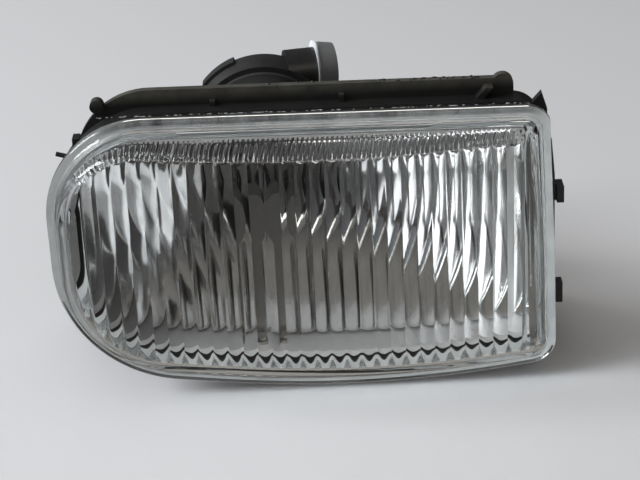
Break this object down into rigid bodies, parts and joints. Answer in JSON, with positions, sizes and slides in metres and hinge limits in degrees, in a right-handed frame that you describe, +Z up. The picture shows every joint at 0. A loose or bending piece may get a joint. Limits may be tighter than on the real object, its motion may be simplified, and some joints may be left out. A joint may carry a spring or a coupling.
{
  "type": "fog light",
  "caption": "Rectangular fog lamp with a fluted glass lens, twist-in bulb holder, tilting mounting bracket and rear aiming screw.",
  "frame": {"origin": "middle of the bracket's flat base, on the surface it stands on", "axes": "+X to the right seen from the front of the lens, along the lamp's length; -Y is the way the lens shines; +Z up"},
  "size_m": [0.1779, 0.1357, 0.1116],
  "materials": {
    "lens_glass": "clear, fluted on the inside",
    "sealant": "matte",
    "housing": "satin moulded",
    "reflector": "vacuum-metallised mirror finish",
    "screws": "zinc plated",
    "shield": "dull steel",
    "vent": "matte",
    "bush": "natural nylon",
    "holder": "satin moulded",
    "seal": "matte",
    "collar": "satin moulded",
    "terminals": "tinned",
    "bulb_base": "satin",
    "bulb_glass": "clear quartz",
    "filament": "dull",
    "bracket": "black e-coat",
    "zinc": "zinc plated",
    "aim_nut": "natural nylon"
  },
  "bodies": {
    "bracket": {"bracket": "bracket", "plate_nut_left": "zinc", "plate_nut_right": "zinc", "pivot_bush_right": "bush", "pivot_bush_left": "bush", "screw_bush": "bush"},
    "lamp": {"lens": "lens_glass", "lens_sealant": "sealant", "housing": "housing", "reflector": "reflector", "reflector_screw_1": "screws", "reflector_screw_2": "screws", "reflector_screw_3": "screws", "bulb_shield": "shield", "shield_rivet": "screws", "vent_cap": "vent", "pivot_pin_right": "zinc", "pivot_pin_left": "zinc"},
    "bulb_unit": {"bulb_holder": "holder", "holder_seal": "seal", "socket_collar": "collar", "terminals": "terminals", "bulb_base": "bulb_base", "bulb_glass": "bulb_glass", "filament": "filament"},
    "aim_screw": {"aim_screw": "zinc", "screw_retainer": "zinc"},
    "aim_nut": {"aim_nut": "aim_nut"}
  },
  "joints": [
    {"name": "lamp_tilt", "type": "hinge", "parent": "bracket", "child": "lamp", "pos_m": [0, -0.019, 0.056], "axis": [1, 0, 0], "range_deg": [-2.8, 2.8]},
    {"name": "aim_screw_turn", "type": "hinge", "parent": "bracket", "child": "aim_screw", "pos_m": [0.03, 0.001, 0.016], "axis": [0, -1, 0], "range_deg": [-720, 720]},
    {"name": "aim_nut_slide", "type": "slide", "parent": "bracket", "child": "aim_nut", "axis": [0, 1, 0], "range_m": [-0.00205, 0.00205]},
    {"name": "bulb_holder_twist", "type": "hinge", "parent": "lamp", "child": "bulb_unit", "pos_m": [-0.0135, 0.051, 0.061], "axis": [0, 1, 0], "range_deg": [0, 40]}
  ],
  "couplings": [
    {"joint": "aim_screw_turn", "follows": "lamp_tilt", "ratio": 251.33},
    {"joint": "aim_nut_slide", "follows": "lamp_tilt", "m_per_rad": 0.04}
  ]
}
